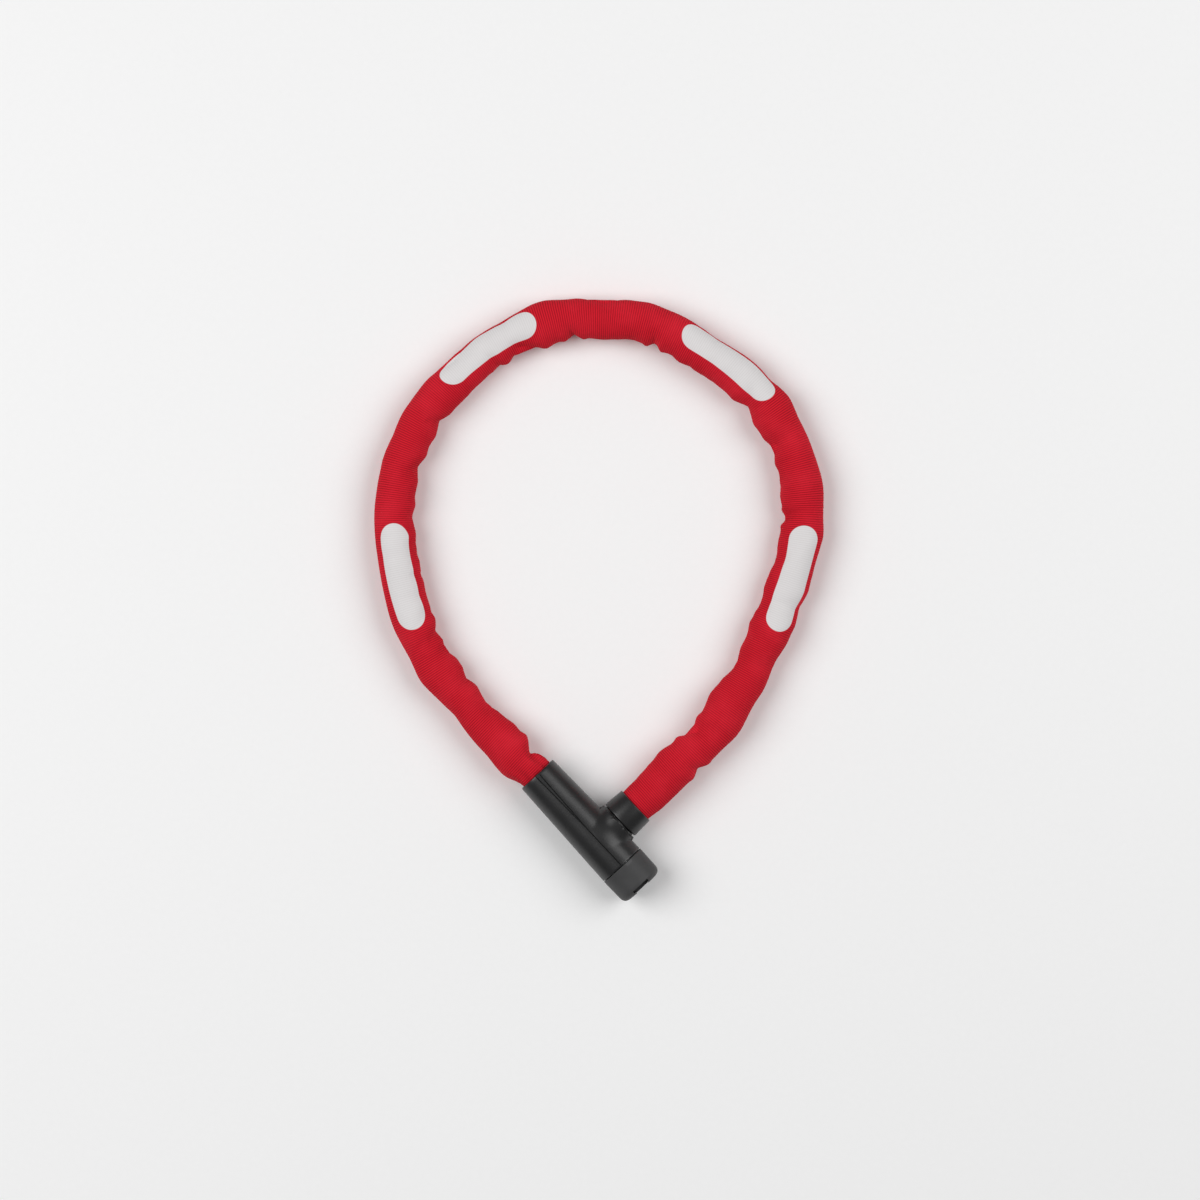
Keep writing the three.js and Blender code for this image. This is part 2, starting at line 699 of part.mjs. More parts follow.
const lock = new THREE.Group();
lock.position.copy(LOCK_AT);
lock.rotation.z = LOCK_HEADING;
lock.add(...casingHalves(), endCap(), keyholeCover(), sleeveClampRing());
lock.add(steelBody(), anchorPin(), studGuideBush(), cylinderHousing(), cylinderPin());
lock.add(plug(), plugClip(), latch(), latchSpring());
WAFERS_AT.forEach((x, i) => lock.add(wafer(x, i + 1), waferSpring(x, i + 1)));
lock.add(lockingStud(), studLinkPin(), studCollar(), sleeveEndBand());

const chainLock = new THREE.Group();
chainLock.position.copy(CENTRING);
chainLock.add(lock, fabricSleeve(), ...chainLinks());

export default chainLock;
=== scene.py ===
"""Looks of the chain lock: the camera, the light and every piece that is shown.

Dimensions are given in millimetres and placed in metres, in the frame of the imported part. The
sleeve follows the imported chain. The casing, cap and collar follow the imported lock's axes.
"""

import json
import math

import bmesh
import bpy
import numpy as np
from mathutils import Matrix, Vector
from mathutils.bvhtree import BVHTree


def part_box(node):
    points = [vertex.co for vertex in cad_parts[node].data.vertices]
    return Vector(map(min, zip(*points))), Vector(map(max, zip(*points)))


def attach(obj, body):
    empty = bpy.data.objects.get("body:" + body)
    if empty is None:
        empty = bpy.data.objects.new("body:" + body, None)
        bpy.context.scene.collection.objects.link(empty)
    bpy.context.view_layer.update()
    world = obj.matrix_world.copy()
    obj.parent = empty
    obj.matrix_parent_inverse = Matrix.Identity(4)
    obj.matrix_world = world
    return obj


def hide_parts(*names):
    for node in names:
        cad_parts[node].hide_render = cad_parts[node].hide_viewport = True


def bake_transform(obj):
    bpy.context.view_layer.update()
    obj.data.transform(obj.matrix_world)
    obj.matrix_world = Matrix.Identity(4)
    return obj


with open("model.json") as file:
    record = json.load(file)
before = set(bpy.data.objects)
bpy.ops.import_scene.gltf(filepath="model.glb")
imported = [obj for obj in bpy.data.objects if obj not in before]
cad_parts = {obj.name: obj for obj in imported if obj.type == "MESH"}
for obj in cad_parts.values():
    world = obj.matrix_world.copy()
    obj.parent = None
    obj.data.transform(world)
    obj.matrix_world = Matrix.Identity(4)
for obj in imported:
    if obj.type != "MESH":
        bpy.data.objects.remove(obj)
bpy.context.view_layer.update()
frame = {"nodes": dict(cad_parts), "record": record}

MM = 0.001

# ---------------------------------------------------------------------------------------------
# Driving dimensions, in millimetres unless a comment says otherwise
# ---------------------------------------------------------------------------------------------

# The camera and the width it sees on the floor, in metres
CAMERA_PLACE = (0.0008, -0.0009, 3.0)
VIEW_WIDTH = 0.696
SENSOR_WIDTH = 36.0

# The chain: the links move in runs, and each is a stadium shape of square wire
LINKS = 33
RUNS = 8
RUN_LENGTH = 4  # links
LINK_PITCH = 23.1
LINK_HALF_LENGTH = 17.9
LINK_HALF_WIDTH = 8.9
WIRE_HALF = 2.4
LAST_SPAN = 22.9  # from the last crossing of two links to the stud's link pin

# The lock, along its own x axis, with the stud along y
PLUG_X = 70.0
ANCHOR_PIN_X = 19.1
STUD_X = 52.0
STUD_PIN_Y = 27.9

# The casing
CASING_LENGTH = 71.5
CHAIN_END_RADIUS = 12.3
KEY_END_RADIUS = 14.1
KEY_END_STEP = 2.0  # how far the key end closes in towards the cap's spigot
RIM_ROUNDING = 0.9
RIM_DEPTH = 0.5
MOUTH_RADIUS = 11.0
MOUTH_DEPTH = 6.0
SEAM_GAP = 0.35  # between the casing halves, and between casing and cap
SEAM_DEPTH = 1.3
BOSS_RADIUS = 12.8
BOSS_TOP = 15.5
BOSS_FILLET = 3.6
BOSS_OPENING_RADIUS = 8.6
BOSS_OPENING_DEPTH = 2.5
# the rim's height fills the gap under the collar with black plastic, as painted shade
BOSS_RIM_HEIGHT = 1.05
STUD_HOLE = 6.65
STRIP_FROM = 0.9  # the key strip in the joint between the halves
STRIP_TO = 42.0
STRIP_HALF_WIDTH = 1.25
JOINT_BED_DEPTH = 1.05

# The cap, with the channel that the keyhole cover slides in
CAP_END = 89.3
CAP_ROUNDING = 4.5
CAP_RADIUS = 14.2
CAP_TAPER = 0.3
CHANNEL_HALF_WIDTH = 4.65
CHANNEL_BOTTOM = -5.4
CHANNEL_DEPTH = 1.2
UNDERCUT = 0.9
UNDERCUT_DEPTH = 2.5
KEY_WELL_FROM = 80
KEY_WELL_RADIUS = 4.6
PAST_CAP = 2  # how far a cutter stands out of the cap

# The collar
COLLAR_START = 16.8
COLLAR_END = 29.2
COLLAR_FOOT_RADIUS = 12.45
COLLAR_TOP_RADIUS = 11.85
COLLAR_HOLE = 4.9

# The sleeve as it lies: half its width and half its height
SLEEVE_SIDE = 11.5
SLEEVE_UP = 11.0
SLEEVE_FROM_X = 9.0  # where it ends inside the casing
SLEEVE_TO_Y = 23.4  # and inside the collar
RING_STEP = 1.3
RING_POINTS = 72
CURVE_SAMPLES = 60  # between two crossings

# A flat link spreads the cloth sideways and the next one, on edge, lifts it
SIDE_SLACK, SIDE_BEAT = 0.1, 0.2
RISE_SLACK, RISE_BEAT = 0.3, 0.5

# How the cloth is drawn in at its ends: (share of the width, fully drawn to, back to full width at)
CASING_GATHER = (0.155, 7.5, 24)
COLLAR_GATHER = (0.075, 6.5, 17)

# Folds and creases grow between these distances from the casing's and the collar's end
FOLDS_FROM_CASING = (8, 20)
FOLDS_FROM_COLLAR = (6, 16)

# Pleats where the cloth enters the casing
PLEATS = 9
PLEAT_DEPTH = 0.55
PLEAT_TURN = 0.8  # radians
PLEATS_START = (0, 7)
PLEATS_FADE = (9, 30)

# The cloth's room over the links, as drawn and as measured
CLOTH_OVER_LINK = 0.55
CLOTH_OVER_MEASURED = 0.7
CAST_FROM = 16 * MM  # rays that measure the links start this far from the middle, in metres

# Where the cloth stands out or is pinched in: (crossing number, side, depth in mm, reach in mm).
# Crossings of neighbouring links are numbered from the anchor pin. Side 0 faces out of the loop,
# 90 up, 180 into the loop. A negative depth is a pinch.
FOLDS = [
    (1.3, 180, -6.5, 6), (1.5, 0, 2.6, 12), (2.9, 170, -2.4, 12), (3.3, 0, -1.8, 14),
    (3.8, 165, -2.2, 5), (4.5, 10, 1.3, 8), (4.9, 180, -2.6, 8), (5.3, 160, -3.0, 5),
    (5.8, 0, 1.4, 14), (7.3, 180, 1.0, 22), (8.4, 150, -1.4, 6), (9.8, 155, -2.2, 6),
    (10.4, 0, -1.0, 9), (11.2, 150, -2.6, 6), (12.2, 180, 0.7, 12), (12.6, 20, -2.6, 13),
    (13.5, 165, -2.0, 4), (14.3, 180, -4.8, 10), (14.9, 160, 1.4, 4), (15.1, 0, 3.0, 12),
    (15.7, 165, -3.2, 4), (16.5, 0, -2.6, 9), (16.5, 180, 0.8, 8), (17.3, 130, -1.6, 6),
    (17.6, 0, 1.5, 8), (18.0, 175, -3.8, 3.5), (19.3, 0, -1.6, 16), (19.3, 180, 1.5, 22),
    (21.0, 165, -2.8, 6), (21.5, 0, 2.2, 8), (21.7, 180, 1.2, 6), (22.4, 150, -3.6, 6),
    (23.6, 0, 1.6, 12), (23.8, 180, 1.3, 6), (24.4, 170, -3.4, 3.5), (24.8, 10, 1.4, 8),
    (25.0, 180, 1.3, 9), (26.2, 180, 2.0, 12), (26.6, 15, -1.8, 7), (27.3, 180, 2.0, 8),
    (28.1, 0, -1.6, 10), (28.5, 160, -2.8, 8), (29.5, 180, 2.2, 8), (29.9, 0, 2.0, 11),
    (30.6, 170, -5.0, 6), (31.2, 5, -2.6, 4), (31.6, 180, 2.0, 9), (33.1, 0, 1.0, 6),
]
PINCH_SPREAD = 72  # degrees round the sleeve
BULGE_SPREAD = 50
PINCH_SLANT = 2.5  # mm along for each radian round

# Small seeded creases: a pair is a lowest and highest value, or for the side a mean and a spread
CREASES = 230
CREASE_SEED = 11
CREASE_SIDE = (150, 55)  # degrees, as for FOLDS
CREASE_DEPTH = (0.12, 0.45)
CREASE_REACH = (2.0, 6.0)
CREASE_SLANT = 4.0
CREASE_SPREAD = (25, 60)  # degrees

# The pale printed patches: crossing number of the middle, and its distance from the top line
PATCHES = {"upper_left": 13.5, "upper_right": 19.9, "left": 6.95, "right": 25.95}
PATCH_SHIFT = {"upper_left": 4.2 * MM, "upper_right": 4.5 * MM, "left": 0.0, "right": 1.5 * MM}
PATCH_HALF_LENGTH = 22.5 * MM
PATCH_RADIUS = 8.8 * MM
PATCH_EDGE = 0.15 * MM

# The weave
RIB_PITCH = 1.25 * MM
YARN_PITCH = 0.8 * MM
RIB_WANDER = 0.35 * MM

# ---------------------------------------------------------------------------------------------
# The camera, straight above the loop
# ---------------------------------------------------------------------------------------------


def make_camera():
    data = bpy.data.cameras.new("camera")
    data.sensor_width = SENSOR_WIDTH
    data.lens = data.sensor_width * CAMERA_PLACE[2] / VIEW_WIDTH
    data.clip_start = 0.05
    data.clip_end = 20.0
    camera = bpy.data.objects.new("camera", data)
    camera.location = CAMERA_PLACE
    bpy.context.scene.collection.objects.link(camera)
    bpy.context.scene.camera = camera


make_camera()

# ---------------------------------------------------------------------------------------------
# The lock's own axes: x from the chain end to the key end, y towards the stud, z up
# ---------------------------------------------------------------------------------------------

JOINTS = {joint["name"]: joint for joint in frame["record"]["behaviour"]["joints"]}
LOCK_X = Vector(JOINTS["plug_turn"]["axis"]).normalized()
LOCK_Y = Vector(JOINTS["stud_slide"]["axis"]).normalized()
UP = Vector((0.0, 0.0, 1.0))
LOCK_ORIGIN = Vector(JOINTS["plug_turn"]["pos_m"]) - LOCK_X * PLUG_X * MM


def lock_point(x, y, z=0.0):
    """A point given in the lock's axes, in millimetres."""
    return LOCK_ORIGIN + (LOCK_X * x + LOCK_Y * y + UP * z) * MM


# ---------------------------------------------------------------------------------------------
# Mesh helpers
# ---------------------------------------------------------------------------------------------


def mesh_object(name, points, faces, material, smooth_angle=35.0):
    """One piece from points and faces, smooth but for edges sharper than smooth_angle degrees."""
    data = bpy.data.meshes.new(name)
    data.from_pydata([tuple(p) for p in points], [], faces)
    data.validate()
    piece = bpy.data.objects.new(name, data)
    bpy.context.scene.collection.objects.link(piece)
    data.materials.append(material)
    shade(piece, smooth_angle)
    return piece


def shade(piece, smooth_angle):
    """Faces turned outward and smooth, with the sharper edges left sharp."""
    work = bmesh.new()
    work.from_mesh(piece.data)
    bmesh.ops.recalc_face_normals(work, faces=work.faces)
    for face in work.faces:
        face.smooth = True
    limit = math.radians(smooth_angle)
    for edge in work.edges:
        if len(edge.link_faces) == 2 and edge.calc_face_angle(0.0) > limit:
            edge.smooth = False
    work.to_mesh(piece.data)
    work.free()


def weld(piece, distance=1e-6):
    """Joins points that lie on one another and removes the faces that this empties."""
    work = bmesh.new()
    work.from_mesh(piece.data)
    bmesh.ops.remove_doubles(work, verts=work.verts, dist=distance)
    bmesh.ops.dissolve_degenerate(work, edges=work.edges, dist=distance)
    work.to_mesh(piece.data)
    work.free()


def rounded(outline, radius, steps=4):
    """The outline with each corner that has a radius turned into an arc. Corners are (along, out)."""
    made = []
    last = len(outline) - 1
    for i, corner in enumerate(outline):
        if i in (0, last) or radius[i] == 0:
            made.append(corner)
            continue
        here = Vector(corner)
        before = (Vector(outline[i - 1]) - here).normalized()
        after = (Vector(outline[i + 1]) - here).normalized()
        start = here + before * radius[i]
        end = here + after * radius[i]
        for k in range(steps + 1):
            t = k / steps
            made.append(tuple(start.lerp(here, t).lerp(here.lerp(end, t), t)))
    return made


def filled_in(outline, longest):
    """The outline with points added wherever two neighbours are further apart than longest."""
    made = [outline[0]]
    for here, there in zip(outline, outline[1:]):
        parts = max(1, math.ceil(math.dist(here, there) / longest))
        for k in range(1, parts + 1):
            t = k / parts
            made.append((here[0] + (there[0] - here[0]) * t, here[1] + (there[1] - here[1]) * t))
    return made


def grid_faces(rows, per_row):
    """The quads between neighbouring rows of points."""
    return [
        (a, a + 1, a + per_row + 1, a + per_row)
        for row in range(rows - 1)
        for a in range(row * per_row, (row + 1) * per_row - 1)
    ]


def turned(name, axis, outline, material, centre=0.0, sides=96, smooth_angle=35.0):
    """An outline of (along, out) turned round the lock's x axis, or round its y axis at x = centre."""
    points = []
    for k in range(sides):
        angle = 2 * math.pi * k / sides
        across, up = math.cos(angle), math.sin(angle)
        for along, out in outline:
            if axis == "x":
                points.append(lock_point(along, out * across, out * up))
            else:
                points.append(lock_point(centre + out * across, along, out * up))
    n = len(outline)
    faces = []
    for k in range(sides):
        beyond = (k + 1) % sides
        for i in range(n - 1):
            a, b = k * n + i, k * n + i + 1
            faces.append((a, b, beyond * n + i + 1, beyond * n + i))
    piece = mesh_object(name, points, faces, material, smooth_angle)
    weld(piece)
    shade(piece, smooth_angle)
    return piece


# ---------------------------------------------------------------------------------------------
# Materials
# ---------------------------------------------------------------------------------------------


class Nodes:
    """A material's nodes, made and joined in one call each."""

    def __init__(self, name, color, roughness, metallic=0.0):
        self.material = bpy.data.materials.new(name)
        self.material.use_nodes = True
        self.tree = self.material.node_tree
        self.shader = self.tree.nodes["Principled BSDF"]
        self.shader.inputs["Base Color"].default_value = (*color, 1.0)
        self.shader.inputs["Roughness"].default_value = roughness
        self.shader.inputs["Metallic"].default_value = metallic
        self.material.diffuse_color = (*color, 1.0)

    def add(self, kind, settings=None, **inputs):
        """A node with its settings, and its inputs by name, or by number as _0, _1 and so on."""
        node = self.tree.nodes.new(kind)
        for key, value in (settings or {}).items():
            setattr(node, key, value)
        for key, value in inputs.items():
            self.put(node.inputs[int(key[1:])] if key[0] == "_" else node.inputs[key], value)
        return node

    def put(self, socket, value):
        if isinstance(value, bpy.types.NodeSocket):
            self.tree.links.new(value, socket)
        else:
            socket.default_value = value

    def surface(self, name, value):
        """Joins a value to one of the shader's own sockets."""
        self.put(self.shader.inputs[name], value)

    def math(self, operation, a, b=0.0, c=0.0):
        return self.add("ShaderNodeMath", {"operation": operation}, _0=a, _1=b, _2=c).outputs[0]

    def noise(self, vector, scale, detail=2.0):
        node = self.add("ShaderNodeTexNoise", None, Vector=vector, Scale=scale, Detail=detail)
        return node.outputs["Fac"]

    def mix(self, factor, a, b):
        node = self.add("ShaderNodeMix", {"data_type": "RGBA"}, _0=factor, _6=a, _7=b)
        return node.outputs[2]

    def between(self, value, low, high, out_low=0.0, out_high=1.0):
        inputs = {"_0": value, "_1": low, "_2": high, "_3": out_low, "_4": out_high}
        return self.add("ShaderNodeMapRange", None, **inputs).outputs[0]

    def bump(self, height, distance, strength=1.0):
        node = self.add("ShaderNodeBump", None, Height=height, Distance=distance, Strength=strength)
        self.surface("Normal", node.outputs[0])

    def position(self):
        return self.add("ShaderNodeNewGeometry").outputs["Position"]


def moulded_plastic(name, dark, light, roughness, grain):
    """Black moulded plastic: a fine spark-eroded grain, softly mottled, with a painted highlight on
    its sharp edges.
    """
    nodes = Nodes(name, light, roughness)
    place = nodes.position()
    mottle = nodes.noise(place, 55.0, 3.0)
    fine = nodes.noise(place, grain, 2.0)
    edge = nodes.add("ShaderNodeNewGeometry").outputs["Pointiness"]
    color = nodes.mix(nodes.between(mottle, 0.3, 0.7), (*dark, 1), (*light, 1))
    # painted highlight: the sharp outer edges are made paler
    edge_highlight = nodes.between(edge, 0.53, 0.62, 0.0, 0.35)
    edge_highlight_color = tuple(min(1.0, channel * 2.2) for channel in light)
    nodes.surface("Base Color", nodes.mix(edge_highlight, color, (*edge_highlight_color, 1)))
    varied = nodes.between(fine, 0.3, 0.7, roughness - 0.07, roughness + 0.07)
    nodes.surface("Roughness", varied)
    nodes.bump(fine, 0.00004, 0.6)
    return nodes.material


def metal(name, color, roughness, streaks=900.0):
    """Machined or plated metal with fine streaks and a little tarnish."""
    nodes = Nodes(name, color, roughness, 1.0)
    place = nodes.position()
    drawn_out = (1.0, 1.0, 9.0)
    scaled = nodes.add("ShaderNodeVectorMath", {"operation": "MULTIPLY"}, _0=place, _1=drawn_out)
    streak = nodes.noise(scaled.outputs[0], streaks, 2.0)
    tarnish = nodes.noise(place, 120.0, 3.0)
    shaded = tuple(channel * 0.72 for channel in color)
    factor = nodes.between(tarnish, 0.35, 0.75)
    nodes.surface("Base Color", nodes.mix(factor, (*color, 1), (*shaded, 1)))
    varied = nodes.between(streak, 0.3, 0.7, roughness - 0.08, roughness + 0.1)
    nodes.surface("Roughness", varied)
    nodes.bump(streak, 0.00002, 0.4)
    return nodes.material


def patch_mask(nodes, along, around, centre, shift):
    """1 inside a pill shape whose middle is at (centre, shift) on the unrolled sleeve, in metres."""
    x = nodes.math("ABSOLUTE", nodes.math("SUBTRACT", along, centre))
    x = nodes.math("MAXIMUM", nodes.math("SUBTRACT", x, PATCH_HALF_LENGTH), 0.0)
    y = nodes.math("SUBTRACT", around, shift)
    square = nodes.math("ADD", nodes.math("MULTIPLY", x, x), nodes.math("MULTIPLY", y, y))
    distance = nodes.math("SQRT", square)
    return nodes.between(distance, PATCH_RADIUS + PATCH_EDGE, PATCH_RADIUS - PATCH_EDGE)


def woven_sleeve(patches):
    """Red ribbed webbing: ribs round the sleeve, crossed by finer yarns, with pale patches."""
    # the second colour is painted shade for the hollows between the ribs
    red, groove_shade, bright = (0.68, 0.0125, 0.028), (0.29, 0.0035, 0.010), (0.74, 0.022, 0.042)
    # the print's first colour is painted shade for the hollows between the ribs
    print_groove_shade, print_pale = (0.36, 0.25, 0.26), (0.74, 0.72, 0.72)
    nodes = Nodes("woven_sleeve", red, 0.85)
    uv = nodes.add("ShaderNodeUVMap", {"uv_map": "unrolled"}).outputs[0]
    split = nodes.add("ShaderNodeSeparateXYZ", None, _0=uv)
    along, around = split.outputs[0], split.outputs[1]
    # the weave: rows of ribs that wander a little, each second row of yarns set off by half
    wander = nodes.math("MULTIPLY", nodes.math("SUBTRACT", nodes.noise(uv, 160.0), 0.5), RIB_WANDER)
    rows = nodes.math("DIVIDE", nodes.math("ADD", along, wander), RIB_PITCH)
    rib = nodes.math("ABSOLUTE", nodes.math("SINE", nodes.math("MULTIPLY", rows, math.pi)))
    offset = nodes.math("MULTIPLY", nodes.math("FLOOR", rows), 0.5)
    cells = nodes.math("ADD", nodes.math("DIVIDE", around, YARN_PITCH), offset)
    yarn = nodes.math("ABSOLUTE", nodes.math("SINE", nodes.math("MULTIPLY", cells, math.pi)))
    crossed = nodes.math("ADD", nodes.math("MULTIPLY", yarn, 0.35), 0.65)
    weave = nodes.math("MULTIPLY", rib, crossed)
    # its colour, with painted shade between the ribs, and faded here and there
    color = nodes.mix(nodes.between(weave, 0.05, 0.75), (*groove_shade, 1), (*red, 1))
    faded = nodes.between(nodes.noise(uv, 45.0, 3.0), 0.45, 0.75, 0.0, 0.5)
    color = nodes.mix(faded, color, (*bright, 1))
    # the patches, smoother than the bare cloth, with a little painted shade between the ribs
    mask = 0.0
    for centre, shift in patches:
        mask = nodes.math("MAXIMUM", mask, patch_mask(nodes, along, around, centre, shift))
    print_rib_shade = nodes.between(weave, 0.0, 0.5, 0.82, 1.0)
    print_color = nodes.mix(print_rib_shade, (*print_groove_shade, 1), (*print_pale, 1))
    nodes.surface("Base Color", nodes.mix(mask, color, print_color))
    nodes.surface("Roughness", nodes.between(mask, 0.0, 1.0, 0.86, 0.5))
    nodes.surface("Specular IOR Level", 0.12)
    height = nodes.math("MULTIPLY", weave, nodes.between(mask, 0.0, 1.0, 1.0, 0.35))
    nodes.bump(height, 0.00022, 0.8)
    return nodes.material


CASING = moulded_plastic(
    "casing_black", (0.009, 0.009, 0.0095), (0.015, 0.015, 0.0155), 0.34, 5200.0
)
CAP = moulded_plastic("cap_black", (0.031, 0.031, 0.032), (0.046, 0.046, 0.047), 0.58, 3800.0)
SLOT_MATERIALS = {
    "hardened_steel": metal("hardened_steel", (0.42, 0.43, 0.44), 0.34),
    "plated_steel": metal("plated_steel", (0.62, 0.63, 0.64), 0.26),
    "cylinder_brass": metal("cylinder_brass", (0.62, 0.45, 0.20), 0.32),
    "cylinder_zinc": metal("cylinder_zinc", (0.46, 0.47, 0.48), 0.46),
    "casing_plastic": CASING,
    "cap_plastic": CAP,
}


def paint_cad_nodes():
    """Gives each CAD node the material of its slot. The sleeve's node is replaced further down."""
    for part in frame["record"]["subparts"]:
        material = SLOT_MATERIALS.get(part["material_slot"])
        if material is None:
            continue
        for slot in frame["nodes"][part["node"]].material_slots:
            slot.material = material


paint_cad_nodes()

# ---------------------------------------------------------------------------------------------
# The sleeve: a woven tube over the chain, cut into lengths between the swivels
# ---------------------------------------------------------------------------------------------


def link_middle(number):
    low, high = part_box(f"link_{number:02d}")
    return (low + high) / 2


def sleeve_route():
    """Where neighbouring links cross, from the anchor pin to the stud's pin, and a guide each end."""
    middles = [link_middle(number) for number in range(1, LINKS + 1)]
    points = [lock_point(30, 0), lock_point(ANCHOR_PIN_X, 0)]
    points += [(a + b) / 2 for a, b in zip(middles, middles[1:])]
    return points + [lock_point(STUD_X, STUD_PIN_Y), lock_point(STUD_X, 14)]


def spline(points, per_span):
    """A Catmull-Rom curve between the inner points, with the crossing number at each sample."""
    p = np.array([tuple(point) for point in points])
    t = np.linspace(0, 1, per_span, endpoint=False)[:, None]
    samples, numbers = [], []
    for i in range(1, len(p) - 2):
        a, b, c, d = p[i - 1], p[i], p[i + 1], p[i + 2]
        curve = 2 * b + (c - a) * t + (2 * a - 5 * b + 4 * c - d) * t**2
        samples.append((curve + (3 * b - a - 3 * c + d) * t**3) / 2)
        numbers.append(i - 1 + t[:, 0])
    return np.vstack(samples), np.concatenate(numbers)


def smooth_step(value, start, end):
    t = np.clip((value - start) / (end - start), 0, 1)
    return t * t * (3 - 2 * t)


def angle_from(turn, side):
    """How far each angle is from a side given in degrees, in radians, the shorter way round."""
    return (turn - math.radians(side) + math.pi) % (2 * math.pi) - math.pi


def sleeve_rings():
    """The rings of the sleeve: middle, direction, distance along and crossing number of each."""
    curve, number = spline(sleeve_route(), CURVE_SAMPLES)
    start = LOCK_ORIGIN + LOCK_X * SLEEVE_FROM_X * MM
    extra = np.array(lock_point(STUD_X, SLEEVE_TO_Y))
    curve = np.vstack([curve, extra])
    number = np.append(number, LINKS + (STUD_PIN_Y - SLEEVE_TO_Y) / LAST_SPAN)
    before_casing = (curve - np.array(start)) @ np.array(LOCK_X) <= 0
    first = int(np.argmax(before_casing))
    curve, number = curve[first:], number[first:]
    length = np.concatenate([[0], np.cumsum(np.linalg.norm(np.diff(curve, axis=0), axis=1))])
    rings = int(length[-1] / (RING_STEP * MM))
    along = np.linspace(0, length[-1], rings)
    middle = np.stack([np.interp(along, length, curve[:, k]) for k in range(3)], axis=1)
    crossing = np.interp(along, length, number)
    tangent = np.gradient(middle, along, axis=0)
    tangent /= np.linalg.norm(tangent, axis=1)[:, None]
    return middle, tangent, along, crossing


def fold_field(along, crossing, turn):
    """How far the folds move the cloth out from its plain oval, in millimetres."""
    mm_along = along / MM
    field = np.zeros((len(along), len(turn)))
    for place, side, depth, reach in FOLDS:
        centre = np.interp(place, crossing, mm_along)
        spread = math.radians(BULGE_SPREAD if depth > 0 else PINCH_SPREAD)
        away = angle_from(turn, side)
        near = np.exp(-((away / spread) ** 2))
        if depth > 0:
            x = (mm_along[:, None] - centre) / reach
            shape = np.exp(-(x**2))
        else:
            # a pinch runs slantwise, and the cloth stands up a little on both sides of it
            x = (mm_along[:, None] - centre - PINCH_SLANT * away[None, :]) / reach
            lips = np.exp(-((np.abs(x) - 1.5) ** 2) * 4)
            shape = np.exp(-(np.abs(x * 1.3) ** 1.4)) - 0.22 * lips
        field += depth * shape * near[None, :]
    return field


def crease_field(along, turn):
    """How far small seeded creases move the cloth, most of them on the inside of the loop."""
    rng = np.random.default_rng(CREASE_SEED)
    mm_along = along / MM
    field = np.zeros((len(along), len(turn)))
    for _ in range(CREASES):
        centre = rng.uniform(0, mm_along[-1])
        side = rng.normal(*CREASE_SIDE)
        depth = rng.uniform(*CREASE_DEPTH)
        reach = rng.uniform(*CREASE_REACH)
        slant = rng.normal(0, CREASE_SLANT)
        spread = math.radians(rng.uniform(*CREASE_SPREAD))
        away = angle_from(turn, side)
        x = (mm_along[:, None] - centre - slant * away[None, :]) / reach
        shape = np.exp(-(x**2)) - 0.6 * np.exp(-((x - 1.5) ** 2))
        field -= depth * shape * np.exp(-((away / spread) ** 2))
    return field


def drawn_reach(crossing, bearing):
    """How far a hull round an ideal flat link and upright link reaches at each bearing."""
    reach = []
    for parity in (0, 1):
        # from the nearest flat link's middle, then from the nearest upright one's
        away = np.abs((crossing - 0.5 - parity + 1) % 2 - 1) * LINK_PITCH
        beyond = np.clip(away - (LINK_HALF_LENGTH - LINK_HALF_WIDTH), 0, LINK_HALF_WIDTH)
        reach.append(np.maximum(np.sqrt(LINK_HALF_WIDTH**2 - beyond**2), WIRE_HALF))
    wide, tall = reach[0][:, None], reach[1][:, None]
    across, up = np.abs(np.cos(bearing)), np.abs(np.sin(bearing))
    slope_x, slope_z = tall - WIRE_HALF, wide - WIRE_HALF
    slope = np.maximum(slope_x * across + slope_z * up, 1e-6)
    oblique = (slope_x * wide + slope_z * WIRE_HALF) / slope
    sides = np.minimum(wide / np.maximum(across, 1e-6), tall / np.maximum(up, 1e-6))
    return np.minimum(sides, np.maximum(oblique, WIRE_HALF))


def flat_link_offset(middle, outward, crossing):
    """How far the nearest flat link's straight axis lies outside the curve, in millimetres."""
    route = np.array([tuple(point) for point in sleeve_route()[1:-1]])
    offset = np.zeros(len(crossing))
    for i, place in enumerate(crossing):
        first = int(np.clip(2 * round((place - 0.5) / 2), 0, LINKS - 1))
        a, b = route[first], route[first + 1]
        line = a + (b - a) * (np.dot(middle[i] - a, b - a) / np.dot(b - a, b - a))
        offset[i] = np.dot(line - middle[i], outward[i]) / MM
    return offset


def spread_out(field, steps):
    """The largest value within so many steps of each place, both along and round the sleeve."""
    made = field
    for k in range(1, steps + 1):
        made = np.maximum(made, np.vstack([field[k:], np.repeat(field[-1:], k, axis=0)]))
        made = np.maximum(made, np.vstack([np.repeat(field[:1], k, axis=0), field[:-k]]))
    wide = made
    for k in range(1, steps + 1):
        wide = np.maximum(wide, np.maximum(np.roll(made, k, axis=1), np.roll(made, -k, axis=1)))
    return wide


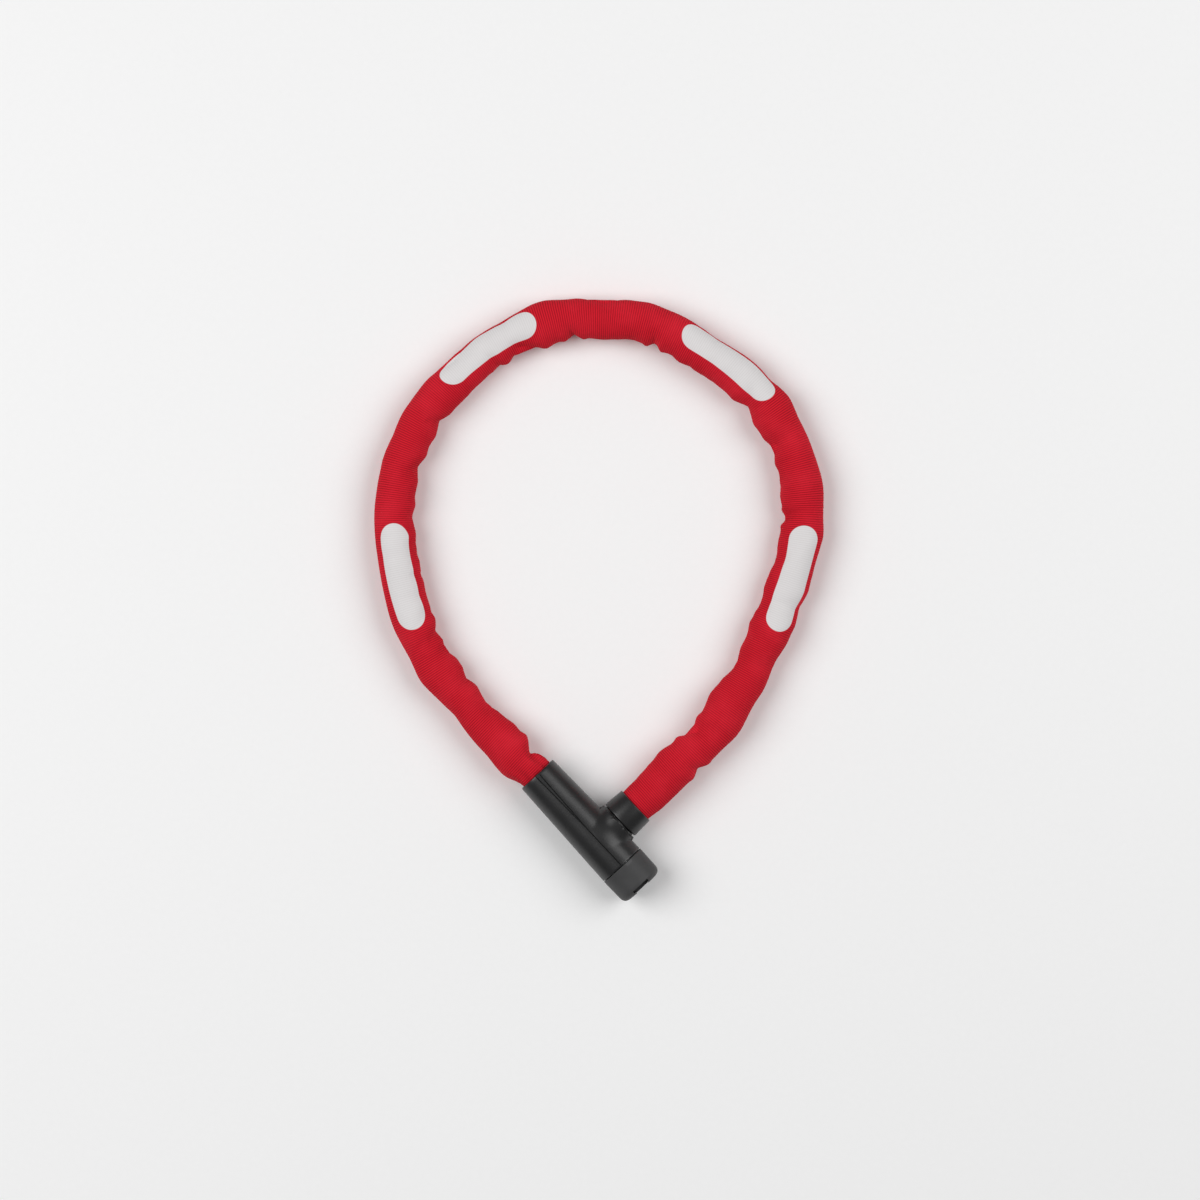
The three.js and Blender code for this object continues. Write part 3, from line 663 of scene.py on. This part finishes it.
def measured_reach(middle, outward, upward, bearing):
    """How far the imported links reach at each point's bearing, widened so that faces clear them."""
    corners, faces = [], []
    for number in range(1, LINKS + 1):
        node = frame["nodes"][f"link_{number:02d}"]
        base = len(corners)
        corners += [node.matrix_world @ vertex.co for vertex in node.data.vertices]
        faces += [[base + v for v in face.vertices] for face in node.data.polygons]
    tree = BVHTree.FromPolygons(corners, faces)
    reach = np.zeros(bearing.shape)
    for i in range(len(middle)):
        for k in range(bearing.shape[1]):
            ray = outward[i] * math.cos(bearing[i, k]) + upward[i] * math.sin(bearing[i, k])
            hit = tree.ray_cast(Vector(middle[i] + ray * CAST_FROM), Vector(-ray), CAST_FROM)
            if hit[0] is not None:
                reach[i, k] = (CAST_FROM - hit[3]) / MM
    wide = spread_out(reach, 2)
    padded = np.vstack([wide[:1], wide, wide[-1:]])
    wide = (padded[:-2] + padded[1:-1] + padded[2:]) / 3
    return (np.roll(wide, 1, axis=1) + wide + np.roll(wide, -1, axis=1)) / 3


def sleeve_surface():
    """The whole sleeve as a grid of points, with the distances along and around that unroll it."""
    middle, tangent, along, crossing = sleeve_rings()
    turn = np.radians(np.linspace(0, 360, RING_POINTS, endpoint=False))
    outward = np.cross(np.array(UP), tangent)
    outward /= np.linalg.norm(outward, axis=1)[:, None]
    upward = np.cross(tangent, outward)
    to_casing = along / MM
    to_collar = (along[-1] - along) / MM

    # the plain oval, drawn in at both ends
    beat = np.cos(math.pi * (crossing - 0.5))
    side = SLEEVE_SIDE - SIDE_SLACK + SIDE_BEAT * beat
    rise = SLEEVE_UP - RISE_SLACK - RISE_BEAT * beat
    gathered = 1 - CASING_GATHER[0] * (1 - smooth_step(to_casing, *CASING_GATHER[1:]))
    banded = 1 - COLLAR_GATHER[0] * (1 - smooth_step(to_collar, *COLLAR_GATHER[1:]))
    narrow = gathered * banded

    # folds, creases and pleats
    field = fold_field(along, crossing, turn) + crease_field(along, turn)
    grown = smooth_step(to_casing, *FOLDS_FROM_CASING) * smooth_step(to_collar, *FOLDS_FROM_COLLAR)
    field *= grown[:, None]
    pleat = PLEAT_DEPTH * np.cos(PLEATS * turn + PLEAT_TURN)[None, :]
    pleat = pleat * (1 - smooth_step(to_casing, *PLEATS_FADE))[:, None]
    loose = pleat * smooth_step(to_casing, *PLEATS_START)[:, None] + field
    out = (side * narrow)[:, None] + loose
    high = (rise * narrow)[:, None] + loose
    radius = np.hypot(out * np.cos(turn), high * np.sin(turn))
    bearing = np.arctan2(high * np.sin(turn), out * np.cos(turn))

    # nowhere closer to the chain than the links allow, nor below the floor
    lean = flat_link_offset(middle, outward, crossing)[:, None] * np.cos(bearing)
    tight = drawn_reach(crossing, bearing) + np.maximum(lean, 0) + CLOTH_OVER_LINK
    radius = np.maximum(radius, tight)
    measured = measured_reach(middle, outward, upward, bearing)
    radius = np.maximum(radius, np.where(measured > 0, measured + CLOTH_OVER_MEASURED, 0))
    points = middle[:, None, :] + outward[:, None, :] * (radius * np.cos(bearing))[:, :, None] * MM
    points = points + upward[:, None, :] * (radius * np.sin(bearing))[:, :, None] * MM
    points[:, :, 2] = np.maximum(points[:, :, 2], 0.0)
    around = (math.pi / 2 - turn) * SLEEVE_SIDE * MM
    return points, along, crossing, around


def surface_normals(points):
    """A smooth normal at each grid point, the same on both sides of a cut."""
    lengthways = np.gradient(points, axis=0)
    sideways = (np.roll(points, -1, axis=1) - np.roll(points, 1, axis=1)) / 2
    normal = np.cross(sideways, lengthways)
    return normal / np.maximum(np.linalg.norm(normal, axis=2), 1e-12)[:, :, None]


def sleeve_length(name, points, normals, along, around, first, last, material):
    """The rings from first to last as one piece, unrolled in its UV map."""
    count = points.shape[1]
    flat = points[first : last + 1].reshape(-1, 3)
    flat_normals = normals[first : last + 1].reshape(-1, 3)
    faces, uvs = [], []
    step = 2 * math.pi * SLEEVE_SIDE * MM / count
    for row in range(first, last):
        for k in range(count):
            a = (row - first) * count + k
            b = (row - first) * count + (k + 1) % count
            faces.append((a, b, b + count, a + count))
            v0, v1 = around[k], around[k] - step
            uvs += [(along[row], v0), (along[row], v1), (along[row + 1], v1), (along[row + 1], v0)]
    data = bpy.data.meshes.new(name)
    data.from_pydata([tuple(p) for p in flat], [], faces)
    layer = data.uv_layers.new(name="unrolled")
    layer.data.foreach_set("uv", np.array(uvs, np.float32).ravel())
    data.polygons.foreach_set("use_smooth", [True] * len(faces))
    data.normals_split_custom_set_from_vertices([tuple(n) for n in flat_normals])
    data.materials.append(material)
    piece = bpy.data.objects.new(name, data)
    bpy.context.scene.collection.objects.link(piece)
    return piece


def make_sleeve():
    """Nine lengths of the one tube, cut so that each has a swivel at its middle."""
    points, along, crossing, around = sleeve_surface()
    normals = surface_normals(points)
    centres = {name: float(np.interp(place, crossing, along)) for name, place in PATCHES.items()}
    material = woven_sleeve([(centres[name], PATCH_SHIFT[name]) for name in PATCHES])
    swivels = [1 + RUN_LENGTH * k for k in range(RUNS)] + [LINKS]
    borders = [place - RUN_LENGTH / 2 for place in swivels[1:]]
    cuts = [0] + [int(np.argmin(np.abs(crossing - border))) for border in borders]
    cuts.append(len(along) - 1)
    route = sleeve_route()[1:-1]
    for k, place in enumerate(swivels):
        name = f"sleeve_{k + 1}"
        piece = sleeve_length(name, points, normals, along, around, cuts[k], cuts[k + 1], material)
        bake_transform(piece)
        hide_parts("fabric_sleeve")


make_sleeve()

# ---------------------------------------------------------------------------------------------
# The casing: two halves with a grooved joint, a key strip let into the joint, and the stud's boss
# ---------------------------------------------------------------------------------------------


def tube_radius(x):
    """The casing's radius without its boss, drawn in at the rounded rim of the chain end."""
    plain = CHAIN_END_RADIUS + (KEY_END_RADIUS - CHAIN_END_RADIUS) * x / CASING_LENGTH
    rim = min(x, RIM_ROUNDING) / RIM_ROUNDING
    return plain - RIM_DEPTH * (1 - math.sqrt(max(0.0, 1 - (1 - rim) ** 2)))


def smooth_larger(a, b, blend):
    """The larger of a and b, with a fillet where they are close."""
    h = max(0.0, min(1.0, 0.5 + 0.5 * (a - b) / blend))
    return b + (a - b) * h + blend * h * (1 - h)


def casing_radius(x, angle):
    """The radius with the boss, at x and at an angle in radians from the stud's side to the top."""
    radius = tube_radius(x)
    reach = BOSS_RADIUS**2 - (x - STUD_X) ** 2
    toward = math.cos(angle)
    if reach <= 0 or toward <= 0:
        return radius
    side = math.sqrt(reach) / max(abs(math.sin(angle)), 1e-3)
    top = BOSS_TOP / toward
    return smooth_larger(min(side, top), radius, BOSS_FILLET)


def joint_half_width(x):
    """Half the width of the joint between the halves: wide where the strip lies in it."""
    if x >= STRIP_TO:
        return SEAM_GAP / 2
    return SEAM_GAP / 2 + STRIP_HALF_WIDTH * (STRIP_TO - x) / (STRIP_TO - STRIP_FROM)


def half_round(x, radius, sign, count):
    """A half circle of points on one side of the lock, from the underside to the top."""
    made = []
    for k in range(count):
        angle = -math.pi / 2 + math.pi * (k / (count - 1))
        made.append(lock_point(x, sign * radius * math.cos(angle), radius * math.sin(angle)))
    return made


def without_boss_opening(points, faces):
    """The faces but for those over the stud's hole, where the boss rim takes over."""
    offset = np.array([tuple(p) for p in points]) - np.array(lock_point(STUD_X, BOSS_TOP))
    sideways = np.hypot(offset @ np.array(LOCK_X), offset[:, 2]) / MM
    on_top = offset @ np.array(LOCK_Y) > -BOSS_OPENING_DEPTH * MM
    inside = (sideways < BOSS_OPENING_RADIUS) & on_top
    return [face for face in faces if not all(inside[v] for v in face)]


def casing_half(name, sign, node):
    """One half shell. The sign is 1 on the stud's side and -1 on the back."""
    key_edge = CASING_LENGTH - 0.5  # the last of the shell, where it is chamfered
    rows = [0, 0.15, 0.4, 0.9] + list(np.linspace(2, key_edge, 110)) + [CASING_LENGTH - 0.15]
    steps = 72
    points = []
    for x in rows:
        near_end = max(0.0, (x - key_edge) / 0.5)
        lift = math.asin(min(0.9, joint_half_width(x) / tube_radius(x)))
        low, high = -math.pi / 2 + lift, math.pi / 2 - lift
        ring = [(low, -SEAM_DEPTH), (low, -0.35), (low + 0.004, -0.12)]
        ring += [(low + 0.012 + (high - low - 0.024) * k / steps, 0.0) for k in range(steps + 1)]
        ring += [(high - 0.004, -0.12), (high, -0.35), (high, -SEAM_DEPTH)]
        for angle, inset in ring:
            radius = casing_radius(x, angle) if sign > 0 else tube_radius(x)
            radius = radius + inset - 0.25 * near_end
            points.append(lock_point(x, sign * radius * math.cos(angle), radius * math.sin(angle)))
    n = len(ring)
    faces = grid_faces(len(rows), n)
    # the mouth at the chain end turns in and goes down the bore
    base = len(points)
    points += half_round(0.0, MOUTH_RADIUS, sign, n) + half_round(MOUTH_DEPTH, MOUTH_RADIUS, sign, n)
    for k in range(n - 1):
        faces.append((k, base + k, base + k + 1, k + 1))
        faces.append((base + k, base + n + k, base + n + k + 1, base + k + 1))
    # the key end closes in towards the cap's spigot
    last = (len(rows) - 1) * n
    base = len(points)
    points += half_round(CASING_LENGTH, KEY_END_RADIUS - KEY_END_STEP, sign, n)
    for k in range(n - 1):
        faces.append((last + k, last + k + 1, base + k + 1, base + k))
    if sign > 0:
        faces = without_boss_opening(points, faces)
    piece = mesh_object(name, points, faces, CASING, 30.0)
    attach(piece, "lock_body")
    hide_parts(node)


def key_strip(name, side):
    """The narrow wedge in the joint, on the top (side 1) or underneath (side -1)."""
    points = []
    rows = np.linspace(STRIP_FROM, STRIP_TO - 0.4, 40)
    for x in rows:
        half = max(0.05, joint_half_width(x) - 0.42)
        radius = tube_radius(x) - 0.1
        section = [(-half, 1.0), (-half, 0.12), (-half * 0.8, 0.0)]
        section += [(half * 0.8, 0.0), (half, 0.12), (half, 1.0)]
        for y, drop in section:
            points.append(lock_point(x, y, side * (math.sqrt(radius**2 - y**2) - drop)))
    n = len(section)
    faces = grid_faces(len(rows), n)
    faces += [tuple(range(n)), tuple(range(len(points) - n, len(points)))]
    piece = mesh_object(name, points, faces, CASING, 30.0)
    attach(piece, "lock_body")


def joint_bed(name, side):
    """The dark lap joint at the bottom of the groove between the halves."""
    points = []
    rows = np.linspace(0.4, CASING_LENGTH - 0.3, 60)
    for x in rows:
        half = joint_half_width(x) + 0.4
        for y in (-half, 0.0, half):
            height = math.sqrt(tube_radius(x) ** 2 - y**2) - JOINT_BED_DEPTH
            points.append(lock_point(x, y, side * height))
    piece = mesh_object(name, points, grid_faces(len(rows), 3), CASING, 30.0)
    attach(piece, "lock_body")


def boss_rim():
    """The lip round the stud's hole in the boss, raised into the gap under the collar as painted
    shade.
    """
    top = BOSS_TOP + BOSS_RIM_HEIGHT
    corners = [(5.0, STUD_HOLE), (top, STUD_HOLE), (top, 11.0), (BOSS_TOP - 0.6, 11.2)]
    outline = rounded(corners, [0, 0.5, 0.4, 0])
    piece = turned("boss_rim", "y", outline, CASING, STUD_X, 72)
    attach(piece, "lock_body")


casing_half("casing_stud_side", 1, "casing_stud_half")
casing_half("casing_back_side", -1, "casing_back_half")
key_strip("key_strip_top", 1)
key_strip("key_strip_under", -1)
joint_bed("joint_bed_top", 1)
joint_bed("joint_bed_under", -1)
boss_rim()

# ---------------------------------------------------------------------------------------------
# The cap over the key end, with the keyhole cover's channel cut into it
# ---------------------------------------------------------------------------------------------


def block(name, x, y, z):
    """A plain box in the lock's axes, used only as a cutter."""
    corners = [lock_point(a, b, c) for a in x for b in y for c in z]
    faces = [(0, 1, 3, 2), (4, 6, 7, 5), (0, 4, 5, 1), (2, 3, 7, 6), (0, 2, 6, 4), (1, 5, 7, 3)]
    return mesh_object(name, corners, faces, CASING)


def cut(piece, cutter):
    """Takes the cutter out of the piece for good."""
    modifier = piece.modifiers.new("cut", "BOOLEAN")
    modifier.operation = "DIFFERENCE"
    modifier.solver = "EXACT"
    modifier.object = cutter
    graph = bpy.context.evaluated_depsgraph_get()
    made = bpy.data.meshes.new_from_object(piece.evaluated_get(graph))
    piece.modifiers.clear()
    piece.data = made
    bpy.data.objects.remove(cutter)


def end_cap():
    seam = CASING_LENGTH + SEAM_GAP
    corners = [(seam, 0), (seam, CAP_RADIUS), (CAP_END, CAP_RADIUS - CAP_TAPER), (CAP_END, 0)]
    outline = filled_in(rounded(corners, [0, 0.35, CAP_ROUNDING, 0], 10), 1.2)
    piece = turned("cap", "x", outline, CAP, sides=128)
    floor_x = CAP_END - CHANNEL_DEPTH
    half, wide = CHANNEL_HALF_WIDTH, CHANNEL_HALF_WIDTH + UNDERCUT
    height = (CHANNEL_BOTTOM, CAP_RADIUS + PAST_CAP)
    cut(piece, block("channel", (floor_x, CAP_END + PAST_CAP), (-half, half), height))
    cut(piece, block("undercut", (CAP_END - UNDERCUT_DEPTH, floor_x + 0.05), (-wide, wide), height))
    end, radius = CAP_END + PAST_CAP, KEY_WELL_RADIUS
    corners = [(KEY_WELL_FROM, 0), (KEY_WELL_FROM, radius), (end, radius), (end, 0)]
    cut(piece, turned("well", "x", corners, CAP, sides=48))
    shade(piece, 32.0)
    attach(piece, "lock_body")
    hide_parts("end_cap")


end_cap()

# ---------------------------------------------------------------------------------------------
# The collar that holds the sleeve to the stud
# ---------------------------------------------------------------------------------------------


def collar():
    corners = [
        (COLLAR_START + 3.0, COLLAR_HOLE),
        (COLLAR_START, COLLAR_HOLE),
        (COLLAR_START, COLLAR_FOOT_RADIUS),
        (COLLAR_END, COLLAR_TOP_RADIUS),
        (COLLAR_END, COLLAR_TOP_RADIUS - 1.0),
        (26.0, 10.8),
    ]
    outline = rounded(corners, [0, 0.2, 0.9, 0.55, 0.2, 0], 6)
    piece = turned("collar", "y", outline, CASING, STUD_X, 128)
    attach(piece, "stud")
    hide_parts("stud_collar")


collar()

# ---------------------------------------------------------------------------------------------
# Floor and light, in metres and watts
# ---------------------------------------------------------------------------------------------


def floor():
    nodes = Nodes("floor_paper", (0.93, 0.93, 0.93), 0.9)
    grain = nodes.noise(nodes.position(), 300.0)
    nodes.surface("Base Color", nodes.mix(grain, (0.92, 0.92, 0.92, 1), (0.94, 0.94, 0.94, 1)))
    reach, level = 6.0, -0.0003
    signs = ((-1, -1), (1, -1), (1, 1), (-1, 1))
    corners = [(x * reach, y * reach, level) for x, y in signs]
    mesh_object("floor", corners, [(0, 1, 2, 3)], nodes.material)


def soft_light(name, place, size, power):
    """A round soft light at a place, turned towards the middle of the floor."""
    data = bpy.data.lights.new(name, "AREA")
    data.shape = "DISK"
    data.size = size
    data.energy = power
    lamp = bpy.data.objects.new(name, data)
    lamp.location = place
    lamp.rotation_mode = "QUATERNION"
    lamp.rotation_quaternion = (-Vector(place)).to_track_quat("-Z", "Y")
    bpy.context.scene.collection.objects.link(lamp)


def light():
    world = bpy.data.worlds.new("studio")
    world.use_nodes = True
    background = world.node_tree.nodes["Background"]
    background.inputs["Color"].default_value = (1, 1, 1, 1)
    background.inputs["Strength"].default_value = 0.22
    bpy.context.scene.world = world
    bpy.context.scene.view_settings.view_transform = "Standard"
    soft_light("key", (-1.6, 0.2, 2.0), 2.0, 39)
    soft_light("fill", (1.6, 0.5, 1.9), 2.0, 31)


floor()
light()
